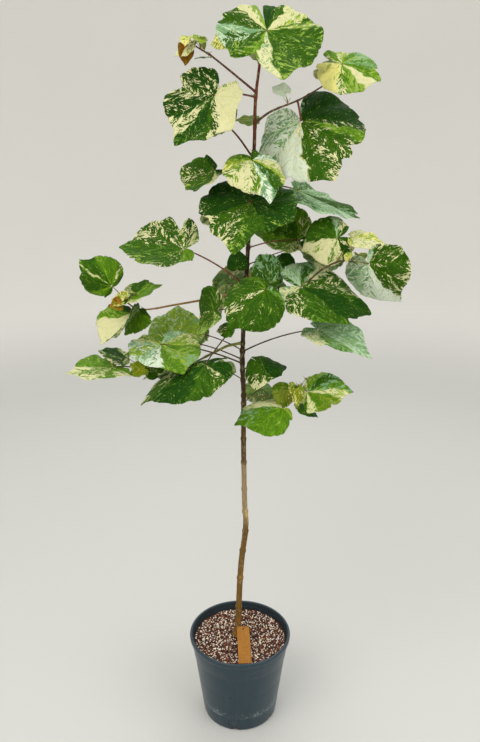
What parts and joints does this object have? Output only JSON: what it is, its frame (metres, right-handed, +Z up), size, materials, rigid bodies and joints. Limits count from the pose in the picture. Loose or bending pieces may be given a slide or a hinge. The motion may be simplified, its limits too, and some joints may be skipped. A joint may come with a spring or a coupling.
{
  "type": "potted shrub",
  "caption": "Young hibiscus shrub with large heart-shaped variegated leaves on a slim trunk, growing in a filled round nursery pot with a bare card label.",
  "frame": {"origin": "centre of the pot's flat underside", "axes": "+Z up along the trunk, -Y towards the side that faces the viewer in the picture, +X to the viewer's right"},
  "size_m": [0.7886, 0.4125, 1.7873],
  "materials": {
    "pot": "moulded, slightly dusty",
    "mix": "loose bark and perlite",
    "card": "uncoated",
    "bark": "young bark",
    "twig": "green wood",
    "leaf": "waxy, variegated"
  },
  "bodies": {
    "root": {"pot": "pot", "potting_mix": "mix", "plant_label": "card", "trunk": "bark", "foliage_top": "leaf", "bough_upper_left": "twig", "foliage_upper_left": "leaf", "bough_upper_right": "twig", "foliage_upper_right": "leaf", "bough_behind_left": "twig", "foliage_behind_left": "leaf", "bough_mid_right": "twig", "foliage_mid_right": "leaf", "bough_mid_left": "twig", "foliage_mid_left": "leaf", "bough_low_left": "twig", "foliage_low_left": "leaf", "bough_low_right": "twig", "foliage_low_right": "leaf", "bough_back": "twig", "foliage_back": "leaf", "leaf_high_left": "leaf", "leaf_high_behind": "leaf", "leaf_left": "leaf", "leaf_front_high": "leaf", "leaf_front_broad": "leaf", "leaf_right_drooping": "leaf", "leaf_right_dark": "leaf", "leaf_long_stalk": "leaf", "leaf_front_low": "leaf", "leaf_front_grey": "leaf", "leaf_front_dark": "leaf", "leaf_side_left": "leaf", "leaf_side_small": "leaf", "leaf_fan_left": "leaf", "leaf_low_pale": "leaf", "leaf_low_glaucous": "leaf", "leaf_low_broad": "leaf", "leaf_low_right": "leaf", "leaf_back_high_right": "leaf", "leaf_back_left": "leaf", "leaf_back_right": "leaf", "leaf_back_mid_right": "leaf", "leaf_back_low_left": "leaf", "leaf_back_under": "leaf", "leaf_back_low_right": "leaf"}
  },
  "joints": []
}
